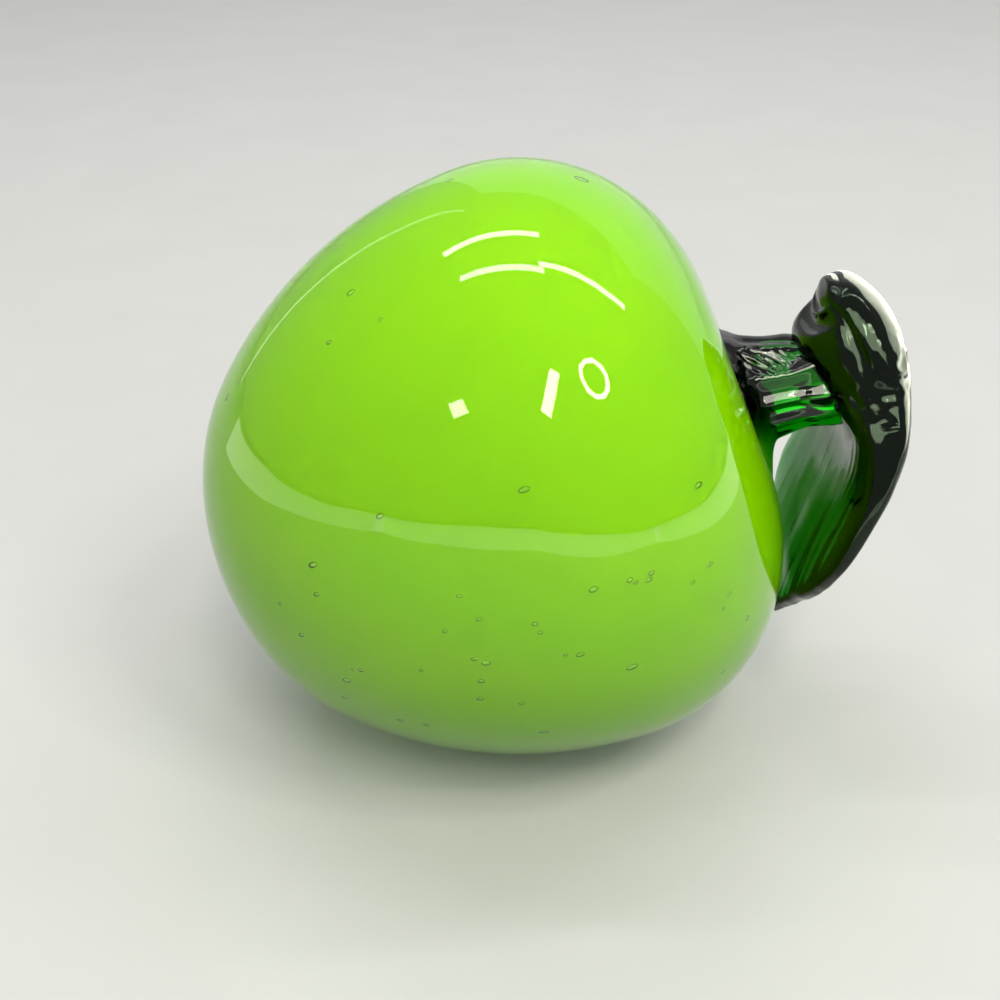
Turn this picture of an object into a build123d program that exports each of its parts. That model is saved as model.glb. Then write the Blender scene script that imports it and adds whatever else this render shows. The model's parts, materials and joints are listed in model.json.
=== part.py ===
from build123d import *
import os
from math import atan2, cos, pi, radians, sin

# Lengths are millimetres. The apple is drawn upright about its own axis: Z runs from the base
# to the stem, X points to the side that the leaf hangs over. It is laid on its side at the end.

# Blown body
apple_diameter = 100.0
apple_length = 92.1
widest_height = 59.4
pontil_diameter = 10.0
dimple_diameter = 30.0
dimple_depth = 2.5
resting_flat_depth = 0.4

# Angles in degrees: the body's axis over the table, the axis as it is drawn, and the turn of the
# arcs next to the base and next to the dimple
resting_tilt = 22.2
drawn_tilt = 90.0
base_arc_turn = 49.5
shoulder_arc_turn = 22.0

# Walls of the two fused layers, at the widest ring, at the base and at the shoulder
casing_side = 2.4
casing_base = 7.5
casing_top = 2.6
core_side = 3.6
core_base = 6.0
core_top = 4.0
blow_hole_diameter = 10.0

# Stem
foot_diameter = 28.0
foot_height = 3.2
foot_offset = 4.0
foot_spread_share = 1.6
stem_root_diameter = 19.2
stem_tip_diameter = 12.8
stem_root_offset = 1.2
stem_tip_offset = 5.2
stem_length = 20.0
stem_sections = 19
ridge_count = 7
ridge_height = 0.7
plug_bulge = 2.0

# Leaf
leaf_reach = 41.2
leaf_rise = 28.0
leaf_width = 44.7
leaf_pad_thickness = 15.0
leaf_end_round_share = 0.7

# Leaf stations from the butt to the tip: share of the reach, share of the rise of the middle
# surface over the shoulder, share of the half width, share of the pad's thickness
leaf_shares = [
    (-0.256, 0.611, 0.11, 0.22),
    (-0.238, 0.639, 0.23, 0.44),
    (-0.181, 0.685, 0.39, 0.76),
    (-0.055, 0.703, 0.54, 1.00),
    (0.106, 0.695, 0.65, 0.95),
    (0.267, 0.666, 0.82, 0.71),
    (0.404, 0.548, 0.93, 0.52),
    (0.542, 0.358, 1.00, 0.38),
    (0.679, 0.163, 0.96, 0.33),
    (0.817, -0.005, 0.72, 0.32),
    (0.920, -0.116, 0.44, 0.29),
    (0.977, -0.193, 0.21, 0.24),
    (0.995, -0.225, 0.10, 0.14),
]

# Corners of a leaf section as shares of its half width and half thickness
rim_shares = [(1.0, 0.0), (0.965, 0.62), (0.80, 0.90), (0.40, 1.0)]


def quarter(end, widest, turn):
    """Two tangent arcs from a level end to the upright run at the widest ring."""
    run = widest[0] - end[0]
    rise = widest[1] - end[1]
    side = 1 if rise > 0 else -1
    s, c = sin(radians(turn)), cos(radians(turn))
    first_radius = (run * c - abs(rise) * (1 - s)) / (s + c - 1)
    joint = (end[0] + first_radius * s, end[1] + side * first_radius * (1 - c))
    TangentArc(end, joint, tangent=(1, 0))
    TangentArc(widest, joint, tangent=(0, -side))


def bubble_section(side, base, top):
    """Half section of the bubble, drawn in from the outside by a depth at side, base and top."""
    crown = apple_length - top
    widest = (apple_diameter / 2 - side, base + (crown - base) * widest_height / apple_length)
    foot = (pontil_diameter / 2, base)
    rim = (dimple_diameter / 2, crown)
    wall = (dimple_diameter / 4, crown - dimple_depth / 2)
    middle = (0, crown - dimple_depth)
    with BuildSketch(Plane.XZ) as half:
        with BuildLine():
            Line((0, base), foot)
            quarter(foot, widest, base_arc_turn)
            quarter(rim, widest, shoulder_arc_turn)
            TangentArc(rim, wall, tangent=(-1, 0))
            TangentArc(middle, wall, tangent=(1, 0))
            Line(middle, (0, base))
        make_face()
    return half.sketch


def neck_section():
    """Half section of the open neck left where the blowpipe was cracked off."""
    radius = blow_hole_diameter / 2
    floor = apple_length / 2
    corners = [(0, floor), (radius, floor), (radius, apple_length), (0, apple_length)]
    with BuildSketch(Plane.XZ) as half:
        with BuildLine():
            Polyline(corners, close=True)
        make_face()
    return half.sketch


def ring(centre_x, centre_z, radius, ridge):
    """A stem section across Z with shallow pulled ridges round it."""
    steps = 2 * ridge_count
    points = []
    for i in range(steps):
        angle = 2 * pi * i / steps
        reach = radius + (ridge if i % 2 == 0 else -ridge) / 2
        points.append((reach * cos(angle), reach * sin(angle)))
    with BuildSketch(Plane((centre_x, 0, centre_z))) as section:
        with BuildLine():
            Spline(points, periodic=True)
        make_face()
    return section.sketch


def stem_section(height):
    """The stem's ring at a height over the shoulder, with the foot's flare near the body."""
    share = height / stem_length
    flare = min(foot_spread_share, max(0, 1 - height / foot_height) ** 2)
    shaft = stem_root_diameter + share * (stem_tip_diameter - stem_root_diameter)
    radius = (shaft + flare * (foot_diameter - stem_root_diameter)) / 2
    centre = stem_root_offset + share * (stem_tip_offset - stem_root_offset)
    centre += flare * (foot_offset - stem_root_offset)
    return ring(centre, apple_length + height, radius, ridge_height * max(0, 1 - flare))


def make_stem(body):
    """A ridged, leaning stem whose foot fills the dimple and whose plug closes the blow hole."""
    step = (stem_length + dimple_depth) / (stem_sections - 1)
    shaft = loft([stem_section(step * i - dimple_depth) for i in range(stem_sections)])
    plug_floor = apple_length - casing_top - core_top - dimple_depth - plug_bulge
    plug = Pos(0, 0, plug_floor) * extrude(
        Circle(blow_hole_diameter / 2), apple_length - plug_floor
    )
    return (shaft - body) + plug


def leaf_station(shares):
    """Place and half sizes of one leaf section: X, Z, half width, half thickness."""
    along, rise, half, thick = shares
    return (
        leaf_reach * along,
        apple_length + leaf_rise * rise,
        leaf_width / 2 * half,
        leaf_pad_thickness / 2 * thick,
    )


def leaf_section(x, z, slope, half_width, half_thickness):
    """A flat oval with full round rims, square to the leaf's run."""
    quarter = [(half_width * a, half_thickness * b) for a, b in rim_shares]
    upper = quarter + [(-a, b) for a, b in reversed(quarter)]
    lower = [(-a, -b) for a, b in quarter[1:]] + [(a, -b) for a, b in reversed(quarter[1:])]
    run = (cos(slope), 0, sin(slope))
    with BuildSketch(Plane((x, 0, z), x_dir=(0, 1, 0), z_dir=run)) as section:
        with BuildLine():
            Spline(upper + lower, periodic=True)
        make_face()
    return section.sketch


def make_leaf(stem):
    """The pad laid over the stem's end, drawn out into a blade that droops to the shoulder."""
    stations = [leaf_station(shares) for shares in leaf_shares]
    sections = []
    for i, (x, z, half_width, half_thickness) in enumerate(stations):
        before, after = stations[max(i - 1, 0)], stations[min(i + 1, len(stations) - 1)]
        slope = atan2(after[1] - before[1], after[0] - before[0])
        sections.append(leaf_section(x, z, slope, half_width, half_thickness))
    blade = loft(sections)
    ends = blade.edges().sort_by(Axis.X)
    blade = fillet(ends[0], leaf_end_round_share * stations[0][3])
    blade = fillet(blade.edges().sort_by(Axis.X)[-1], leaf_end_round_share * stations[-1][3])
    return blade - stem


def laid_on_side(parts):
    """Turns the pieces down to the tilt they rest at and puts the ground resting flat at Z = 0."""
    turn = Rot(0, drawn_tilt - resting_tilt, 0)
    turned = {name: turn * solid for name, solid in parts.items()}
    casing = turned["clear_casing"]
    table = casing.bounding_box().min.Z + resting_flat_depth
    turned["clear_casing"] = split(casing, bisect_by=Plane.XY.offset(table), keep=Keep.TOP).solid()
    middle = Compound(list(turned.values())).bounding_box().center()
    shift = Pos(-middle.X, -middle.Y, -table)
    return {name: shift * solid for name, solid in turned.items()}


def main():
    outer = bubble_section(0, 0, 0)
    core = bubble_section(casing_side, casing_base, casing_top)
    air = bubble_section(
        casing_side + core_side, casing_base + core_base, casing_top + core_top
    )
    neck = neck_section()
    stem = make_stem(revolve(outer, axis=Axis.Z))
    parts = {
        "lime_core": revolve(core - air - neck, axis=Axis.Z).solid(),
        "clear_casing": revolve(outer - core - neck, axis=Axis.Z).solid(),
        "stem": stem.solid(),
        "leaf": make_leaf(stem).solid(),
    }
    os.makedirs("parts", exist_ok=True)
    for name, solid in laid_on_side(parts).items():
        solid.label = name
        export_step(solid, f"parts/{name}.step")


main()
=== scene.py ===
import json
import math
import random

import bmesh
import bpy
import numpy as np
from mathutils import Matrix, Vector, noise
from mathutils.bvhtree import BVHTree


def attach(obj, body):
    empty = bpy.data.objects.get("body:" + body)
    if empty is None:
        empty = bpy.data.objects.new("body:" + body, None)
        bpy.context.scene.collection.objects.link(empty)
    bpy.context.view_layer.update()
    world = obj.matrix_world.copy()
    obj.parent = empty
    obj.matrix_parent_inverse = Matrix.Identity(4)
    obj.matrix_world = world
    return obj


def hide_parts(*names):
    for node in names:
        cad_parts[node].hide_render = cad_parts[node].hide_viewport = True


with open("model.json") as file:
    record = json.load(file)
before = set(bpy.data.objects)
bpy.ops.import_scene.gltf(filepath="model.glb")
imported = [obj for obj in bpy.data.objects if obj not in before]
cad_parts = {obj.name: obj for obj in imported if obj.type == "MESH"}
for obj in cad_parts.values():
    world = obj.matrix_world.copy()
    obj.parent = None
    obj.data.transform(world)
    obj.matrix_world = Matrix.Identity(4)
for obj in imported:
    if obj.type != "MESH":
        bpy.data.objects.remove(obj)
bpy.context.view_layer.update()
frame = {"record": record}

# Lengths are millimetres in the apple's own frame: Z from the base to the stem, X to the side
# that the leaf hangs over. own_to_world turns them into metres in the CAD frame.
mm = 0.001
mounts = {m["name"]: m for m in frame["record"]["mounts"]}
base_point = np.array(mounts["pontil_flat"]["pos_m"])
axis_run = -np.array(mounts["pontil_flat"]["axis"])
across = np.array([0.0, 1.0, 0.0])
leaf_side = np.cross(across, axis_run)

# Blown body, as in the CAD
apple_diameter = 100.0
apple_length = 92.1
widest_height = 59.4
pontil_diameter = 10.0
dimple_diameter = 30.0
dimple_depth = 2.5
base_arc_turn = 49.5
shoulder_arc_turn = 22.0
casing_side, casing_base, casing_top = 2.4, 7.5, 2.6
core_side, core_base, core_top = 3.6, 6.0, 4.0
blow_hole_diameter = 10.0

# Finish of the body's surface. A wave has its share of the depth, its count round the body, its
# pitch along the axis and its start in radians. The waves rise between two radii.
body_wave = 0.16
body_waves = [(1.0, 2, 21, 0.0), (0.7, 3, -13, 1.1), (0.5, 5, 9, 2.3)]
wave_start, wave_full = 16, 36
core_overlap = 0.03

# Steps round the body and the core, along each arc of their profiles, and down the blow hole
body_steps, core_steps = 240, 168
fine, middling, coarse = 56, 44, 24
lip_steps = 8

# Air seeds trapped in the casing. Places round the body and their spread are in degrees, and
# seed_scatter fixes the random draws.
seed_count = 60
seed_scatter = 11
seed_smallest, seed_largest, seed_skew = 0.24, 0.50, 1.5
seed_depth = 1.25
seed_flatness = 0.8
seed_heights = (10, 83)
seed_stretches = (1.2, 2.0)
seed_front, seed_front_spread = 278, 17
seed_rows, seed_columns = 12, 20
large_seed_height, large_seed_place = 80.3, 178.7
large_seed_size, large_seed_stretch = 0.8, 1.5

# Stem. A scallop of the foot's edge has its height, count and start in radians, and the tongue
# has its height and its width in degrees.
foot_diameter = 28.0
foot_height = 3.2
foot_offset = 4.0
foot_sink = 0.12
foot_cover = 0.2
foot_scallops = [(0.35, 7, 0.4), (0.25, 12, 0.0)]
foot_tongue, foot_tongue_width = 1.6, 40
stem_root_diameter = 19.2
stem_tip_diameter = 12.8
stem_root_offset = 1.2
stem_tip_offset = 5.2
stem_length = 20.0
plug_bulge = 2.0
plug_roundness = 0.8
plug_gap = 0.04

# Steps round the stem, the rings of each stretch from the plug's floor to the stem's end, and the
# first ring's share of the floor's radius
stem_steps = 192
floor_rings, wall_rings, seat_rings, flare_rings, shaft_rings = 8, 10, 14, 18, 110
first_floor_share = 0.12

# Ridges of the stem: place round it, drift of that place towards the tip, height, width. Places,
# drifts and widths are in degrees from the leaf's side.
stem_ridges = [
    (237, -8, 0.95, 8),
    (265, 0, 0.75, 7),
    (292, 3, 0.65, 9),
    (322, 0, 0.60, 12),
    (198, 4, 0.55, 8),
    (170, 0, 0.70, 13),
    (124, -6, 0.80, 11),
    (82, 0, 0.75, 10),
    (44, 0, 0.60, 12),
    (4, 0, 0.60, 13),
]
ridge_base = 0.55

# Heights over the shoulder where a change in the stem starts and ends
ridge_rise = (-0.5, 3.0)
ridge_drift = (8, 14)
head_rise = (7.5, 13)
back_tuck_rise = (9, 13)
close_start, close_run = 14.5, 4.5
lowest_ring, flare_top = 0.25, 3.4
shaft_start, highest_ring = 3.6, 18.97
lift_off = 1.2

# The stem's head spreads under the pad, less where it is tucked in: size, place, width
head_spread = 2.3
head_tucks = [(0.9, 180, 55), (0.65, 310, 40)]
back_tuck = (0.8, 180, 40)

# Wrinkles of the stem: slow folds all over it, and fine ones near a place in degrees and a height.
# Grain counts folds per millimetre along X, Y and Z, and each row of fine_grain mixes the three.
slow_fold, slow_grain = 0.35, (0.35, 0.35, 0.16)
fine_fold = 0.34
fine_grain = np.array([(0.0, 0.75, 0.55), (0.0, -0.2, 0.28), (0.4, 0.0, 0.0)])
wrinkled_place, wrinkled_width = 215, 17
wrinkled_height, wrinkled_reach = 4, 5
unwrinkled_end = 4

# Leaf
leaf_reach = 41.2
leaf_rise = 28.0
leaf_width = 44.7
leaf_pad_thickness = 15.0
leaf_steps = 176
leaf_runs = 220
leaf_margin = 0.0006
butt_round, tip_round = 0.03, 0.015

# Shares of the leaf's run where a change starts and ends
tip_run = (0.8, 1.0)
soft_run = (0.42, 0.12)
pad_run = (0.38, 0.24)
butt_run = (0.02, 0.14)
blade_run = (0.40, 0.60)
streak_run = (0.30, 0.55)
cup_start, cup_end = (0.50, 0.68), (0.97, 0.77)

# How far the leaf's surface departs from a flat oval. The squareness is the power of the oval,
# and tip_shift, tip_drop and cup_depth are lengths.
tip_shift, tip_drop, cup_depth = 1.8, 2.0, 1.3
blade_squareness, pad_softness = 3.4, 1.0
tongue_inset, tongue_rise = 0.15, (-0.10, -0.60)
crease_inset, crease_place, crease_width = 0.09, -0.05, 0.13
lobe_sag, lobe_place, lobe_width = 0.32, 0.20, 0.075
inner_hollow, outer_fall = 0.22, 0.12
wide_share, wide_place, wide_width = 0.04, 0.68, 0.12

# Folds of the leaf's surface, with their grain as for the stem
leaf_streak, streak_grain = 0.12, (0.05, 0.9, 0.05)
leaf_slow, leaf_slow_grain, leaf_shrink = 0.30, (0.16, 0.16, 0.16), 0.15
outer_streak, outer_grain, outer_start, outer_level = 0.3, (0.04, 0.32, 0.0), (0.0, 0.0, 4.0), 0.45
crumple, crumple_grain = 0.24, (0.36, 0.36, 0.36)
crumple_place, crumple_width, crumple_side = 0.30, 0.06, -9
leaf_end_calm = 0.12
fold_across = (1.0, 0.3, 1.0)

# Leaf stations from the butt to the tip: share of the reach, share of the rise of the middle
# surface over the shoulder, share of the half width, share of the pad's thickness
leaf_shares = [
    (-0.256, 0.611, 0.11, 0.22),
    (-0.238, 0.639, 0.23, 0.44),
    (-0.181, 0.685, 0.39, 0.76),
    (-0.055, 0.703, 0.54, 1.00),
    (0.106, 0.695, 0.65, 0.95),
    (0.267, 0.666, 0.82, 0.71),
    (0.404, 0.548, 0.93, 0.52),
    (0.542, 0.358, 1.00, 0.38),
    (0.679, 0.163, 0.96, 0.33),
    (0.817, -0.005, 0.72, 0.32),
    (0.920, -0.116, 0.44, 0.29),
    (0.977, -0.193, 0.21, 0.24),
    (0.995, -0.225, 0.10, 0.14),
]


def own_to_world(points):
    """Metres in the CAD frame from millimetres in the apple's own frame."""
    p = np.asarray(points, float)
    axes = np.stack([leaf_side, across, axis_run])
    return base_point + mm * (p @ axes)


def ease(x, start, end):
    """0 up to the start and 1 past the end, which may be the smaller, with a smooth rise."""
    share = np.clip((x - start) / (end - start), 0.0, 1.0)
    return share * share * (3 - 2 * share)


def bell(x, centre, width):
    """1 at the centre, falling off to both sides."""
    return np.exp(-(((x - centre) / width) ** 2))


def bump_round(turn, centre, width):
    """A bell round the stem, with its centre and width in degrees."""
    gap = (turn - math.radians(centre) + math.pi) % (2 * math.pi) - math.pi
    return bell(gap, 0, math.radians(width))


def flat_ring(turn, radius, height, centre=0.0):
    """Points of a level ring, whose centre may lie off the apple's axis."""
    level = np.zeros_like(turn) + height
    return np.stack([centre + radius * np.cos(turn), radius * np.sin(turn), level], -1)


def unit(run):
    """A direction of length 1, and nothing for no direction."""
    return run / max(np.linalg.norm(run), 1e-6)


def wobble(point, grain=1.0, start=0.0):
    """Smooth noise at a point, from about -1 to 1."""
    return noise.noise(Vector(np.multiply(point, grain) + start))


def crest(point, grain=1.0):
    """Noise with sharp crests, from about -1 to 1."""
    steepness = 2.6
    return 1 - steepness * abs(wobble(point, grain))


def skin(rings, first, last):
    """Vertices and faces of a closed skin: equal rings between two end points."""
    count, around = rings.shape[:2]
    verts = np.vstack([first[None], rings.reshape(-1, 3), last[None]])
    row = np.arange(count - 1)[:, None] * around + 1
    here = np.arange(around)[None, :]
    nxt = (here + 1) % around
    quads = np.stack([row + here, row + nxt, row + around + nxt, row + around + here], -1)
    faces = quads.reshape(-1, 4).tolist()
    end = count * around + 1
    top = end - around
    for j in range(around):
        k = (j + 1) % around
        faces.append([0, 1 + k, 1 + j])
        faces.append([end, top + j, top + k])
    return verts, faces


def enclosed(verts, faces):
    """Signed volume inside the faces."""
    total = 0.0
    for size in (3, 4):
        f = np.array([x for x in faces if len(x) == size])
        if len(f):
            for k in range(1, size - 1):
                a, b, c = verts[f[:, 0]], verts[f[:, k]], verts[f[:, k + 1]]
                total += np.einsum("ij,ij->", a, np.cross(b, c)) / 6
    return total


def outward(verts, faces, hollow=False):
    """The faces turned to point out of the glass, or into a hollow."""
    if (enclosed(verts, faces) > 0) == hollow:
        return [list(reversed(f)) for f in faces]
    return faces


def join(parts):
    """One list of vertices and one of faces from several."""
    verts, faces, start = [], [], 0
    for v, f in parts:
        verts.append(v)
        faces += [[i + start for i in face] for face in f]
        start += len(v)
    return np.vstack(verts), faces


def mark_fused(piece, shares):
    """Marks where a surface is fused to its neighbour, so that light passes it unbent."""
    mark = piece.data.attributes.new("fused", "FLOAT", "POINT")
    mark.data.foreach_set("value", np.asarray(shares, np.float32))


def is_inside(tree, start):
    """Whether rays both ways from a point leave through an odd number of skins."""
    past_skin = 1e-6
    for run in (Vector((0.31, 0.17, 0.93)), Vector((-0.42, 0.23, -0.88))):
        run.normalize()
        point, skins = start, 0
        while point is not None:
            point, _, _, _ = tree.ray_cast(point, run)
            if point is not None:
                skins += 1
                point = point + run * past_skin
        if skins % 2 == 0:
            return False
    return True


def buried(piece, other):
    """1 for each vertex of a piece that lies inside the other piece, 0 for the rest."""
    corners = [v.co for v in other.data.vertices]
    tree = BVHTree.FromPolygons(corners, [f.vertices for f in other.data.polygons])
    low = [min(c[k] for c in corners) for k in range(3)]
    high = [max(c[k] for c in corners) for k in range(3)]
    inside = []
    for v in piece.data.vertices:
        near = all(low[k] < v.co[k] < high[k] for k in range(3))
        inside.append(1.0 if near and is_inside(tree, v.co) else 0.0)
    return np.array(inside)


def new_piece(name, verts, faces, node, slot, material):
    """A smooth mesh piece that stands for a CAD node and rides on its body."""
    mesh = bpy.data.meshes.new(name)
    mesh.from_pydata(own_to_world(verts).tolist(), [], faces)
    mesh.update()
    mesh.shade_smooth()
    piece = bpy.data.objects.new(name, mesh)
    bpy.context.scene.collection.objects.link(piece)
    mesh.materials.append(material)
    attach(piece, "root")
    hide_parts(node)
    return piece


# Profile of the body


def arc(centre, radius, start, end, steps):
    """Points of an arc from one angle to another, both in radians from +X."""
    t = np.linspace(start, end, steps)
    return np.stack([centre[0] + radius * np.cos(t), centre[1] + radius * np.sin(t)], -1)


def quarter(end, widest, turn, steps):
    """The two tangent arcs of the CAD profile, from a level end to the widest ring."""
    run = widest[0] - end[0]
    rise = widest[1] - end[1]
    side = 1 if rise > 0 else -1
    s, c = math.sin(math.radians(turn)), math.cos(math.radians(turn))
    first = (run * c - abs(rise) * (1 - s)) / (s + c - 1)
    joint = end[0] + first * s
    second = (widest[0] - joint) / (1 - s)
    level, meet = -side * math.radians(90), -side * math.radians(90 - turn)
    near = arc((end[0], end[1] + side * first), first, level, meet, steps)
    far = arc((widest[0] - second, widest[1]), second, meet, 0, steps)
    return np.vstack([near, far[1:]])


def tangent_arc(start, end, heading, steps):
    """The arc from start to end that leaves start along heading."""
    start, end, heading = (np.array(p, float) for p in (start, end, heading))
    normal = np.array([-heading[1], heading[0]])
    chord = end - start
    radius = chord @ chord / (2 * chord @ normal)
    centre = start + radius * normal
    a, b = start - centre, end - centre
    turn = math.atan2(a[0] * b[1] - a[1] * b[0], a @ b)
    begin = math.atan2(a[1], a[0])
    return arc(centre, abs(radius), begin, begin + turn, steps)


def profile(side, base, top, steps, grow=0.0):
    """Half profile from the base's centre to the middle of the dimple, as radius and height, set
    in by three depths and then grown outwards."""
    crown = apple_length - top
    widest = (apple_diameter / 2 - side, base + (crown - base) * widest_height / apple_length)
    foot = (pontil_diameter / 2, base)
    rim = (dimple_diameter / 2, crown)
    wall = (dimple_diameter / 4, crown - dimple_depth / 2)
    middle = (0.0, crown - dimple_depth)
    flat_steps, dimple_steps = max(4, steps // 12), max(4, steps // 8)
    flat = np.linspace((0.0, base), foot, flat_steps)
    lower = quarter(foot, widest, base_arc_turn, steps)
    upper = quarter(rim, widest, shoulder_arc_turn, steps)[::-1]
    bowl = tangent_arc(rim, wall, (-1, 0), dimple_steps)
    cup = tangent_arc(middle, wall, (1, 0), dimple_steps)[::-1]
    line = np.vstack([flat, lower[1:], upper[1:], bowl[1:], cup[1:]])
    if grow:
        run = np.gradient(line, axis=0)
        run /= np.linalg.norm(run, axis=1)[:, None]
        line = line + grow * np.stack([run[:, 1], -run[:, 0]], -1)
    return line


def height_at(line, radius):
    """Height of the upper half of a profile at a radius."""
    top = line[line[:, 1] > widest_height][::-1]
    return np.interp(radius, top[:, 0], top[:, 1])


def lathe(line, steps):
    """Rings of a profile turned round the axis, without its two end points."""
    turn = np.linspace(0, 2 * math.pi, steps, endpoint=False)
    r, z = line[1:-1, 0][:, None], line[1:-1, 1][:, None]
    level = np.broadcast_to(z, (len(r), steps))
    return np.stack([r * np.cos(turn), r * np.sin(turn), level], -1)


def hand_blown(rings):
    """Slow waves pressed into the outer surface, which fade out towards the two ends."""
    x, y, z = rings[..., 0], rings[..., 1], rings[..., 2]
    turn = np.arctan2(y, x)
    wave = sum(s * np.sin(count * turn + z / pitch + a) for s, count, pitch, a in body_waves)
    most = sum(s for s, _, _, _ in body_waves)
    length = np.maximum(np.hypot(x, y), 1.0)
    push = body_wave * (wave / most - 1) / 2 * ease(length, wave_start, wave_full)
    moved = rings.copy()
    moved[..., 0] += push * x / length
    moved[..., 1] += push * y / length
    return moved


def open_shell(outer, inner, steps, shape=lambda rings: rings):
    """A hollow shell of revolution with the blow hole through its top."""
    hole = blow_hole_diameter / 2
    up = outer[(outer[:, 0] > hole) | (outer[:, 1] < widest_height)]
    down = inner[(inner[:, 0] > hole) | (inner[:, 1] < widest_height)][::-1]
    lip = np.linspace((hole, height_at(outer, hole)), (hole, height_at(inner, hole)), lip_steps)
    line = np.vstack([up, lip, down])
    rings = lathe(line, steps)
    rings[: len(up) - 1] = shape(rings[: len(up) - 1])
    verts, faces = skin(rings, np.array([0, 0, up[0, 1]]), np.array([0, 0, down[-1, 1]]))
    return verts, outward(verts, faces)


def make_seed(line, height, turn, size, stretch):
    """A small air bubble under the outer surface, drawn out along the profile."""
    i = int(np.searchsorted(line[:, 1], height, side="right")) - 1
    share = (height - line[i, 1]) / (line[i + 1, 1] - line[i, 1])
    run = unit(line[i + 1] - line[i])
    inward = np.array([-run[1], run[0]])
    point = line[i] + share * (line[i + 1] - line[i]) + seed_depth * inward
    out = np.array([math.cos(turn), math.sin(turn), 0])
    up = np.array([0, 0, 1.0])
    centre = point[0] * out + point[1] * up
    along = run[0] * out + run[1] * up
    deep = inward[0] * out + inward[1] * up
    side = np.cross(along, deep)
    lat = np.linspace(0, math.pi, seed_rows + 1)[1:-1, None, None]
    lon = np.linspace(0, 2 * math.pi, seed_columns, endpoint=False)[None, :, None]
    axis_part = np.cos(lat) * along * size * stretch
    around = np.cos(lon) * side + seed_flatness * np.sin(lon) * deep
    round_part = np.sin(lat) * size * around
    end = along * size * stretch
    verts, faces = skin(centre + axis_part + round_part, centre + end, centre - end)
    return verts, outward(verts, faces, hollow=True)


def make_seeds(line):
    """One large seed near the top, then small ones, three in five of them over the front."""
    line = line[: np.argmax(line[:, 1])]
    rng = random.Random(seed_scatter)
    place = math.radians(large_seed_place)
    seeds = [make_seed(line, large_seed_height, place, large_seed_size, large_seed_stretch)]
    for i in range(seed_count):
        front = i % 5 > 1
        height = rng.uniform(*seed_heights)
        place = rng.gauss(seed_front, seed_front_spread) if front else rng.uniform(0, 360)
        size = seed_smallest + (seed_largest - seed_smallest) * rng.random() ** seed_skew
        stretch = rng.uniform(*seed_stretches)
        seeds.append(make_seed(line, height, math.radians(place), size, stretch))
    return seeds


def ground_flat(piece):
    """Cuts the resting flat into the casing at the table."""
    bm = bmesh.new()
    bm.from_mesh(piece.data)
    geometry = bm.verts[:] + bm.edges[:] + bm.faces[:]
    bmesh.ops.bisect_plane(bm, geom=geometry, plane_co=(0, 0, 0), plane_no=(0, 0, 1))
    for v in bm.verts:
        v.co.z = max(v.co.z, 0.0)
    bm.to_mesh(piece.data)
    bm.free()


def make_body(clear, lime):
    """The casing with its seeds, and the core in it. Also gives the casing's outer profile."""
    outer = profile(0, 0, 0, fine)
    joint = profile(casing_side, casing_base, casing_top, coarse)
    swollen = profile(casing_side, casing_base, casing_top, middling, core_overlap)
    side, base, top = casing_side + core_side, casing_base + core_base, casing_top + core_top
    air = profile(side, base, top, coarse)
    casing = join([open_shell(outer, joint, body_steps, hand_blown)] + make_seeds(outer))
    body = new_piece("casing_glass", *casing, "clear_casing", "clear_glass", clear)
    ground_flat(body)
    mark_fused(body, under_foot(body))
    core = open_shell(swollen, air, core_steps)
    new_piece("core_glass", *core, "lime_core", "lime_glass", lime)
    return body, outer


def under_foot(body):
    """1 for each vertex of the casing that the stem's foot or plug covers."""
    places = np.array([v.co for v in body.data.vertices]) - base_point
    x, y, z = (places @ run / mm for run in (leaf_side, across, axis_run))
    turn = np.arctan2(y, x - foot_offset)
    covered = np.hypot(x - foot_offset, y) < foot_reach(turn) - foot_cover
    return np.where(covered & (z > widest_height), 1.0, 0.0)


# Stem


def foot_reach(turn):
    """Radius of the foot's edge on the body, with the lobes that the hot glass ran out to."""
    lobes = sum(rise * np.sin(count * turn + start) for rise, count, start in foot_scallops)
    return foot_diameter / 2 + lobes + foot_tongue * bump_round(turn, 0, foot_tongue_width)


def stem_reach(turn, height):
    """Radius of the stem round its own centre line, at a height over the shoulder."""
    share = height / stem_length
    radius = (stem_root_diameter + share * (stem_tip_diameter - stem_root_diameter)) / 2
    flare = max(0, 1 - height / foot_height) ** 2
    radius = radius + flare * (foot_diameter - stem_root_diameter) / 2
    late = ease(height, *ridge_drift)
    ridges = sum(
        rise * bump_round(turn, place + drift * late, width)
        for place, drift, rise, width in stem_ridges
    )
    tucked = sum(size * bump_round(turn, place, width) for size, place, width in head_tucks)
    head = head_spread * ease(height, *head_rise) * (1 - tucked)
    size, place, width = back_tuck
    head = head - size * bump_round(turn, place, width) * ease(height, *back_tuck_rise)
    close = math.sqrt(max(0, 1 - (max(0, height - close_start) / close_run) ** 2))
    return (radius + ease(height, *ridge_rise) * (ridges - ridge_base) + head) * close


def stem_centre(height):
    """Distance of the stem's centre line from the apple's axis."""
    share = height / stem_length
    flare = max(0, 1 - height / foot_height) ** 2
    centre = stem_root_offset + share * (stem_tip_offset - stem_root_offset)
    return centre + flare * (foot_offset - stem_root_offset)


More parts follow.
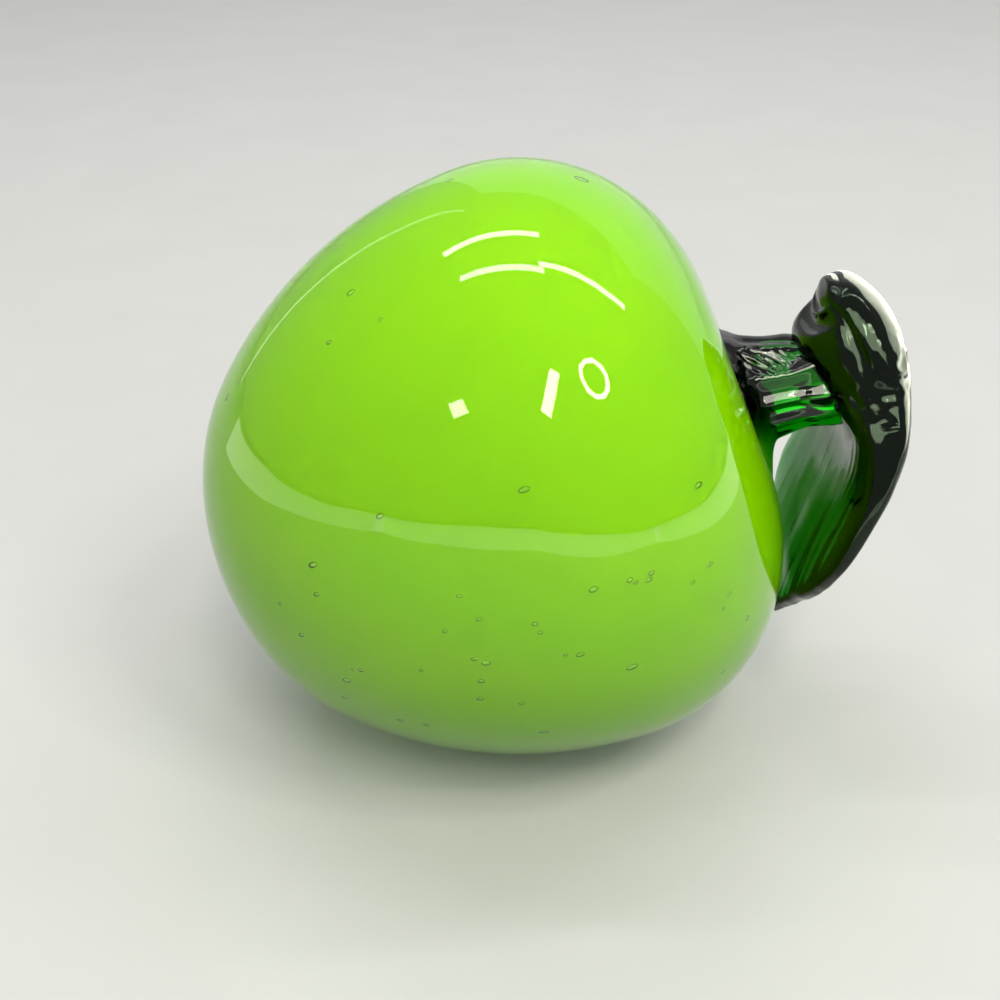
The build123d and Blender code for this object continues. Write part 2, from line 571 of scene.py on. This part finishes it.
def make_stem(outer, green):
    """The plug in the blow hole, the foot on the dimple and the ridged shaft, as one skin."""
    turn = np.linspace(0, 2 * math.pi, stem_steps, endpoint=False)
    hole = blow_hole_diameter / 2 - plug_gap
    floor = apple_length - casing_top - core_top - dimple_depth - plug_bulge
    rings = []
    for share in np.linspace(first_floor_share, 1, floor_rings):
        dip = plug_bulge * (1 - math.sqrt(1 - share**2)) * plug_roundness
        rings.append(flat_ring(turn, hole * share, floor + dip))
    seat = height_at(outer, hole) - foot_sink
    for height in np.linspace(floor + plug_bulge, seat, wall_rings)[:-1]:
        rings.append(flat_ring(turn, hole, height))
    inner = flat_ring(turn, hole, 0)
    rim = flat_ring(turn, foot_reach(turn), 0, foot_offset)
    for share in np.linspace(0, 1, seat_rings):
        ring = (1 - share) * inner + share * rim
        ring[:, 2] = height_at(outer, np.hypot(ring[:, 0], ring[:, 1])) - foot_sink
        rings.append(ring)
    edge = rings[-1][:, 2]
    under = len(rings)
    flare = np.linspace(lowest_ring, flare_top, flare_rings)
    shaft = np.linspace(shaft_start, highest_ring, shaft_rings)
    for height in np.concatenate([flare, shaft]):
        lift = ease(height, 0, lift_off)
        level = height + edge * (1 - lift) + apple_length * lift
        rings.append(flat_ring(turn, stem_reach(turn, height), level, stem_centre(height)))
    rings = np.array(rings)
    crinkle_stem(rings, under)
    verts, faces = skin(rings, np.array([0, 0, floor]), rings[-1].mean(0))
    stem = new_piece("stem_glass", verts, outward(verts, faces), "stem", "green_glass", green)
    hidden = np.arange(len(verts)) < 1 + (under - 1) * stem_steps
    return stem, hidden


def crinkle_stem(rings, first):
    """Pulled wrinkles along the shaft, strongest on its upper front near the foot."""
    places = np.linspace(0, 360, rings.shape[1], endpoint=False)
    nearest = bell(places, wrinkled_place, wrinkled_width)
    for ring in rings[first:]:
        height = ring[0, 2] - apple_length
        centre = ring.mean(0)
        fade = ease(height, stem_length, stem_length - unwrinkled_end)
        near = nearest * bell(height, wrinkled_height, wrinkled_reach)
        for j, p in enumerate(ring.copy()):
            fold = slow_fold * wobble(p, slow_grain) + fine_fold * near[j] * crest(fine_grain @ p)
            ring[j] += unit(p - centre) * fold * fade


# Leaf


def smooth_run(rows, t):
    """Rows of station values read smoothly at t, from 0 at the first row to 1 at the last."""
    rows = np.asarray(rows, float)
    at = np.clip(t, 0, 1) * (len(rows) - 1)
    i = np.minimum(at.astype(int), len(rows) - 2)
    f = (at - i)[:, None]
    padded = np.vstack([2 * rows[0] - rows[1], rows, 2 * rows[-1] - rows[-2]])
    a, b, c, d = (padded[i + k] for k in range(4))
    return b + 0.5 * f * (c - a + f * (2 * a - 5 * b + 4 * c - d + f * (3 * (b - c) + d - a)))


def leaf_rings(t, turn):
    """Rings of the leaf's surface for every place along it and every angle round it."""
    half_width, half_pad = leaf_width / 2, leaf_pad_thickness / 2
    rows = [
        (leaf_reach * a, apple_length + leaf_rise * b, half_width * c, half_pad * d)
        for a, b, c, d in leaf_shares
    ]
    x, z, half, thick = smooth_run(rows, t).T
    tip = ease(t, *tip_run)
    x, z = x + tip_shift * tip, z - tip_drop * tip
    ends = np.sqrt(1 - np.clip(1 - t / butt_round, 0, 1) ** 2)
    ends *= np.sqrt(1 - np.clip(1 - (1 - t) / tip_round, 0, 1) ** 2)
    half, thick = half * ends, thick * ends
    slope = np.arctan2(np.gradient(z), np.gradient(x))
    cos, sin = np.cos(turn), np.sin(turn)
    power = (2 / (blade_squareness - pad_softness * ease(t, *soft_run)))[:, None]
    u = np.sign(cos) * np.abs(cos) ** power
    v = np.sign(sin) * np.abs(sin) ** power
    pad = ease(t, *pad_run)[:, None]
    tongue = pad * ease(v, *tongue_rise)
    crease = pad * bell(v, crease_place, crease_width)
    inset = tongue_inset * tongue + crease_inset * crease
    u = u * (1 - inset * ease(t, *butt_run)[:, None])
    v = v - lobe_sag * tongue * bell(t, lobe_place, lobe_width)[:, None]
    v = v * (1 - inner_hollow * ease(t, *blade_run)[:, None] * (1 - u**2) * (v < 0))
    v = v * (1 - outer_fall * u**2 * (v > 0))
    wide = wide_share * bell(t, wide_place, wide_width)[:, None]
    y = half[:, None] * u * (1 + wide * (u > 0))
    cup = (cup_depth * ease(t, *cup_start) * ease(t, *cup_end))[:, None]
    out = thick[:, None] * v - cup * u**2 * (u > 0)
    px = x[:, None] - np.sin(slope)[:, None] * out
    pz = z[:, None] + np.cos(slope)[:, None] * out
    return np.stack([px, y, pz], -1)


def crinkle_leaf(rings, t):
    """Pulled streaks along the blade, slow dents over the pad and a crumple where they meet."""
    sides = np.sin(np.linspace(0, 2 * math.pi, rings.shape[1], endpoint=False))
    for ring, share in zip(rings, t):
        centre = ring.mean(0)
        blade = ease(share, *streak_run)
        size = np.clip(min(share, 1 - share) / leaf_end_calm, 0, 1)
        near = crumple * bell(share, crumple_place, crumple_width)
        for j, p in enumerate(ring.copy()):
            streak = leaf_streak * blade * wobble(p, streak_grain)
            slow = leaf_slow * (1 - blade / 2) * wobble(p, leaf_slow_grain)
            fold = size * (streak + slow - leaf_shrink)
            fold += near * ease(p[1], 0, crumple_side) * crest(p, crumple_grain)
            pulled = wobble(p, outer_grain, outer_start) - outer_level
            fold += outer_streak * blade * size * max(0.0, sides[j]) * pulled
            ring[j] += unit((p - centre) * fold_across) * fold


def make_leaf(green):
    """The pad round the stem's end and the drooping blade, as one skin."""
    t = np.linspace(leaf_margin, 1 - leaf_margin, leaf_runs)
    turn = np.linspace(0, 2 * math.pi, leaf_steps, endpoint=False)
    rings = leaf_rings(t, turn)
    crinkle_leaf(rings, t)
    verts, faces = skin(rings, rings[0].mean(0), rings[-1].mean(0))
    return new_piece("leaf_blade", verts, outward(verts, faces), "leaf", "leaf_glass", green)


# Materials

noise_low, noise_high = 0.35, 0.65
glass_index, fused_index = 1.5, 1.0001


def new_material(name):
    """A new material, with its node tree and its shader."""
    material = bpy.data.materials.new(name)
    material.use_nodes = True
    tree = material.node_tree
    shader = tree.nodes["Principled BSDF"]
    return material, tree, shader


def object_noise(tree, scale, detail=3.0, stretch=(1, 1, 1), rough=0.5):
    """A noise pattern fixed to the object, finer along an axis with a larger stretch."""
    place = tree.nodes.new("ShaderNodeTexCoord")
    mapping = tree.nodes.new("ShaderNodeMapping")
    mapping.inputs["Scale"].default_value = stretch
    pattern = tree.nodes.new("ShaderNodeTexNoise")
    pattern.inputs["Scale"].default_value = scale
    pattern.inputs["Detail"].default_value = detail
    pattern.inputs["Roughness"].default_value = rough
    tree.links.new(place.outputs["Object"], mapping.inputs["Vector"])
    tree.links.new(mapping.outputs["Vector"], pattern.inputs["Vector"])
    return pattern


def ramp(tree, source, low, high, dark, light):
    """Colours spread over a pattern between two of its levels."""
    node = tree.nodes.new("ShaderNodeValToRGB")
    for element, level, colour in zip(node.color_ramp.elements, (low, high), (dark, light)):
        element.position = level
        element.color = (*colour, 1)
    tree.links.new(source.outputs[0], node.inputs["Fac"])
    return node


def spread(tree, source, most):
    """A number that follows a noise pattern from nothing to the most."""
    node = tree.nodes.new("ShaderNodeMapRange")
    node.inputs["From Min"].default_value = noise_low
    node.inputs["From Max"].default_value = noise_high
    node.inputs["To Max"].default_value = most
    tree.links.new(source.outputs[0], node.inputs["Value"])
    return node


def mix(tree, blend, first):
    """A colour mix fed with a first colour. A Mix node's sockets for colours share their names,
    so they are found by place: the colours are inputs 6 and 7, and the result is output 2."""
    node = tree.nodes.new("ShaderNodeMix")
    node.data_type = "RGBA"
    node.blend_type = blend
    node.inputs[0].default_value = 1.0
    tree.links.new(first.outputs["Color"], node.inputs[6])
    return node


def dent(tree, shader, source, strength, distance):
    """Shallow dents in the surface that follow a pattern, with their distance in metres."""
    node = tree.nodes.new("ShaderNodeBump")
    node.inputs["Strength"].default_value = strength
    node.inputs["Distance"].default_value = distance
    tree.links.new(source.outputs[0], node.inputs["Height"])
    tree.links.new(node.outputs["Normal"], shader.inputs["Normal"])


def lime_material():
    """Opaque lime glass seen through the casing, with faint swirls from the gather."""
    material, tree, shader = new_material("lime_opaque_glass")
    swirl = object_noise(tree, scale=26, detail=4.0, stretch=(1.0, 1.0, 2.2), rough=0.55)
    tint = ramp(tree, swirl, 0.32, 0.68, dark=(0.41, 0.95, 0.0), light=(0.46, 0.98, 0.0))
    tree.links.new(tint.outputs["Color"], shader.inputs["Base Color"])
    shader.inputs["Roughness"].default_value = 0.5
    shader.inputs["Specular IOR Level"].default_value = 0.0
    return material


def clear_material():
    """Clear fire-polished glass with faint cords and a little handling haze."""
    material, tree, shader = new_material("clear_casing_glass")
    shader.inputs["Base Color"].default_value = (0.985, 1.0, 0.975, 1)
    shader.inputs["Transmission Weight"].default_value = 1.0
    haze = object_noise(tree, scale=60, detail=5.0)
    fused_joint(tree, shader, spread(tree, haze, most=0.022))
    cords = object_noise(tree, scale=38, detail=2.0, stretch=(1.0, 1.0, 2.5))
    dent(tree, shader, cords, strength=0.25, distance=0.0004)
    return material


def fused_joint(tree, shader, roughness):
    """Gives the surface its gloss, and lets light pass unbent where it is fused to a neighbour."""
    mark = tree.nodes.new("ShaderNodeAttribute")
    mark.attribute_name = "fused"
    index = tree.nodes.new("ShaderNodeMapRange")
    index.inputs["To Min"].default_value = glass_index
    index.inputs["To Max"].default_value = fused_index
    tree.links.new(mark.outputs["Fac"], index.inputs["Value"])
    tree.links.new(index.outputs[0], shader.inputs["IOR"])
    free = tree.nodes.new("ShaderNodeMath")
    free.operation = "SUBTRACT"
    free.inputs[0].default_value = 1.0
    tree.links.new(mark.outputs["Fac"], free.inputs[1])
    gloss = tree.nodes.new("ShaderNodeMath")
    gloss.operation = "MULTIPLY"
    tree.links.new(free.outputs[0], gloss.inputs[0])
    tree.links.new(roughness.outputs[0], gloss.inputs[1])
    tree.links.new(gloss.outputs[0], shader.inputs["Roughness"])


def absorbing(tree, colour, density):
    """Colours the light by the length of its way through the glass."""
    depth = tree.nodes.new("ShaderNodeVolumeAbsorption")
    depth.inputs["Color"].default_value = colour
    depth.inputs["Density"].default_value = density
    output = next(n for n in tree.nodes if n.type == "OUTPUT_MATERIAL")
    tree.links.new(depth.outputs[0], output.inputs["Volume"])


def side_share(tree, low, high):
    """0 to 1 between two distances from the axis in mm, on the side that the leaf hangs over."""
    place = tree.nodes.new("ShaderNodeTexCoord")
    along = tree.nodes.new("ShaderNodeVectorMath")
    along.operation = "DOT_PRODUCT"
    along.inputs[1].default_value = leaf_side
    tree.links.new(place.outputs["Object"], along.inputs[0])
    share = tree.nodes.new("ShaderNodeMapRange")
    start = float(base_point @ leaf_side)
    share.inputs["From Min"].default_value = start + mm * low
    share.inputs["From Max"].default_value = start + mm * high
    tree.links.new(along.outputs["Value"], share.inputs["Value"])
    return share


def stem_material():
    """Dark green glass with painted shade, nearly black on its upper side and clearer towards the
    leaf's side.
    """
    material, tree, shader = new_material("green_stem_glass")
    shader.inputs["Transmission Weight"].default_value = 1.0
    streak = object_noise(tree, scale=120, detail=4.0, stretch=(0.35, 1.0, 0.8), rough=0.6)
    tint = ramp(tree, streak, 0.3, 0.7, dark=(0.72, 0.92, 0.74), light=(1, 1, 1))
    # Painted shade: the base colour darkens to nearly black on the stem's upper side, away from
    # the leaf's side, and clears towards the leaf's side. This stands in for shade above and light
    # through the underside.
    side = side_share(tree, low=0.5, high=6.5)
    painted_shade = ramp(tree, side, 0.0, 1.0, dark=(0.015, 0.03, 0.015), light=(1, 1, 1))
    both = mix(tree, "MULTIPLY", tint)
    tree.links.new(painted_shade.outputs["Color"], both.inputs[7])
    tree.links.new(both.outputs[2], shader.inputs["Base Color"])
    haze = object_noise(tree, scale=90, detail=4.0)
    fused_joint(tree, shader, spread(tree, haze, most=0.04))
    dent(tree, shader, streak, strength=0.25, distance=0.0004)
    absorbing(tree, colour=(0.0, 0.80, 0.05, 1), density=520.0)
    return material


def leaf_material():
    """Deep green glass with streaks that run down the blade."""
    material, tree, shader = new_material("green_leaf_glass")
    shader.inputs["Transmission Weight"].default_value = 1.0
    streak = object_noise(tree, scale=60, detail=5.0, stretch=(0.18, 3.2, 0.18), rough=0.65)
    tint = ramp(tree, streak, 0.3, 0.7, dark=(0.66, 0.88, 0.68), light=(1, 1, 1))
    tree.links.new(tint.outputs["Color"], shader.inputs["Base Color"])
    haze = object_noise(tree, scale=90, detail=4.0)
    fused_joint(tree, shader, spread(tree, haze, most=0.04))
    shader.inputs["Specular Tint"].default_value = (0.6, 0.8, 0.6, 1)
    dent(tree, shader, streak, strength=0.2, distance=0.0005)
    absorbing(tree, colour=(0.0, 0.66, 0.04, 1), density=1150.0)
    return material


# Stage, lights and camera, in metres and degrees

floor_size = 12
apple_middle = (0, 0, 0.06)
world_strength = 0.38
warm, card_tint = (1.0, 0.99, 0.80), (1.0, 0.99, 0.82)
camera_azimuth, camera_elevation, camera_angle = 0.05, 28, 36
camera_distance, camera_aim = 0.26598, (-0.00827, 0.0, 0.04165)
nearest_seen = 0.01


def floor_material():
    """A pale matt floor that throws less light back on the apple than its colour would. The
    diffuse depth is 0 where the floor itself is seen and more where it lights a matt surface."""
    material, tree, shader = new_material("pale_floor")
    grain = object_noise(tree, scale=30, detail=4.0)
    tint = ramp(tree, grain, 0.3, 0.7, dark=(0.675, 0.675, 0.67), light=(0.695, 0.695, 0.69))
    bounced = tree.nodes.new("ShaderNodeLightPath")
    quiet = mix(tree, "MIX", tint)
    quiet.inputs[7].default_value = (0.25, 0.25, 0.248, 1)
    tree.links.new(bounced.outputs["Diffuse Depth"], quiet.inputs[0])
    tree.links.new(quiet.outputs[2], shader.inputs["Base Color"])
    shader.inputs["Roughness"].default_value = 0.7
    shader.inputs["Specular IOR Level"].default_value = 0.2
    return material


def make_stage():
    """The floor that the apple rests on."""
    bpy.ops.mesh.primitive_plane_add(size=floor_size, location=(0, 0, 0))
    floor = bpy.context.active_object
    floor.name = "floor"
    floor.data.materials.append(floor_material())


def lamp(name, place, aim, size, power, run, colour=(1, 1, 1)):
    """A soft rectangular lamp that the camera doesn't see, with its first size along run."""
    data = bpy.data.lights.new(name, "AREA")
    data.shape = "RECTANGLE"
    data.size, data.size_y = size
    data.energy = power
    data.color = colour
    obj = bpy.data.objects.new(name, data)
    bpy.context.scene.collection.objects.link(obj)
    back = (Vector(place) - Vector(aim)).normalized()
    side = Vector(run) - Vector(run).dot(back) * back
    side.normalize()
    turn = Matrix((side, back.cross(side), back)).transposed()
    obj.matrix_world = Matrix.Translation(place) @ turn.to_4x4()
    obj.visible_camera = False
    return obj


def card(name, place, aim, size, glow, run, pieces, seen="glossy"):
    """A dim panel that only shows in the gloss of some pieces, or through them."""
    panel = lamp(name, place, aim, size, math.pi * glow * size[0] * size[1], run, card_tint)
    panel.visible_diffuse = False
    panel.visible_glossy = seen == "glossy"
    panel.visible_transmission = seen == "through"
    lit = bpy.data.collections.new(name + "_pieces")
    for piece in pieces:
        lit.objects.link(piece)
    panel.light_linking.receiver_collection = lit


def ring_lamp(name, place, aim, radius, width, power, sides, colour):
    """A ring of straight lamps that all face the same way and overlap a little at their ends."""
    back = (Vector(place) - Vector(aim)).normalized()
    level = Vector((0, 0, 1)).cross(back).normalized()
    upward = back.cross(level)
    overlap = 1.02
    length = overlap * 2 * radius * math.tan(math.pi / sides)
    for i in range(sides):
        turn = 2 * math.pi * i / sides
        shift = radius * (math.cos(turn) * level + math.sin(turn) * upward)
        along = math.cos(turn) * upward - math.sin(turn) * level
        spot, target = Vector(place) + shift, Vector(aim) + shift
        lamp(f"{name}_{i}", spot, target, (length, width), power / sides, along, colour)


def make_light(body, stem, leaf):
    """The lamps that the photograph shows mirrored in the glass, a soft main light and a panel
    behind, and cards that give the glass its dim mirrorings."""
    glass = [body, stem, leaf]
    world = bpy.data.worlds.new("room")
    bpy.context.scene.world = world
    world.use_nodes = True
    back = world.node_tree.nodes["Background"]
    back.inputs["Color"].default_value = (1, 1, 1, 1)
    back.inputs["Strength"].default_value = world_strength

    # Each lamp: name, place, aim, size, power, run of its first size
    middle = apple_middle
    lamp("tube_back", (-0.21, 0.44, 1.0), middle, (0.70, 0.05), 1.3, (1, 0, 0))
    lamp("tube_middle", (-0.17, 0.14, 1.05), middle, (0.66, 0.05), 1.3, (1, 0, 0))
    lamp("tube_right", (0.42, 0.21, 1.0), middle, (0.66, 0.045), 1.3, (1, 0.1, 0))
    lamp("front_bar", (0.128, -0.81, 1.0), middle, (0.11, 0.40), 3.2, (1, 0, -0.62), warm)
    ring_lamp("front_ring", (0.588, -0.548, 1.02), middle, 0.14, 0.04, 3.0, 10, warm)
    lamp("front_spot", (-0.685, -0.761, 0.78), middle, (0.09, 0.13), 0.6, (1, 0, 0.4), warm)
    soft = lamp("front_soft", (0.35, -0.85, 0.95), middle, (1.0, 1.0), 5.5, (1, 0, 0))
    soft.visible_glossy = False
    lamp("back_panel", (0.51, 1.41, 0.68), (0, 0, 0.68), (1.9, 1.34), 2.9, (1, -0.36, 0))

    # Each card: name, place, aim, size, glow, run of its first size, pieces
    card("left_strip", (-0.65, 0.88, 0.46), middle, (1.1, 0.025), 1.6, (0.58, -0.06, 0.92), glass)
    card("low_front", (0.0, -0.36, 0.026), (0, 0, 0.026), (0.9, 0.05), 1.3, (1, 0, 0), glass)
    card("low_right", (0.42, -0.07, 0.026), (0, -0.07, 0.026), (0.6, 0.05), 1.4, (0, 1, 0), glass)
    card("low_left", (-0.42, -0.07, 0.026), (0, -0.07, 0.026), (0.6, 0.05), 1.3, (0, 1, 0), glass)
    heart = (0.05, -0.01, 0.13)
    card("edge_card", (0.242, 0.151, 0.13), heart, (0.44, 0.26), 4.8, (0.64, -0.77, 0), [leaf])
    above, shoulder = (0.045, -0.333, 0.447), (0.045, -0.005, 0.07)
    card("leaf_card", above, shoulder, (0.7, 0.30), 5.0, (1, 0, 0), [leaf])
    card("stem_card", above, shoulder, (0.7, 0.34), 9.0, (1, 0, 0), [stem])
    below, foot = (0.05, 0.05, 0.004), (0.04, 0, 0.07)
    card("under_card", below, foot, (0.16, 0.16), 4.2, (1, 0, 0), [stem], "through")


def make_camera():
    """The camera, fitted to the photograph."""
    azimuth, elevation = math.radians(camera_azimuth), math.radians(camera_elevation)
    back = Vector((
        math.sin(azimuth) * math.cos(elevation),
        -math.cos(azimuth) * math.cos(elevation),
        math.sin(elevation),
    ))
    data = bpy.data.cameras.new("camera")
    data.angle = math.radians(camera_angle)
    data.clip_start = nearest_seen
    camera = bpy.data.objects.new("camera", data)
    bpy.context.scene.collection.objects.link(camera)
    camera.location = Vector(camera_aim) + back * camera_distance
    camera.rotation_euler = (-back).to_track_quat("-Z", "Y").to_euler()
    bpy.context.scene.camera = camera
    bpy.context.scene.view_settings.view_transform = "Standard"


make_camera()
body, outer_line = make_body(clear_material(), lime_material())
stem, hidden = make_stem(outer_line, stem_material())
leaf = make_leaf(leaf_material())
mark_fused(stem, np.maximum(hidden, buried(stem, leaf)))
mark_fused(leaf, buried(leaf, stem))
make_stage()
make_light(body, stem, leaf)
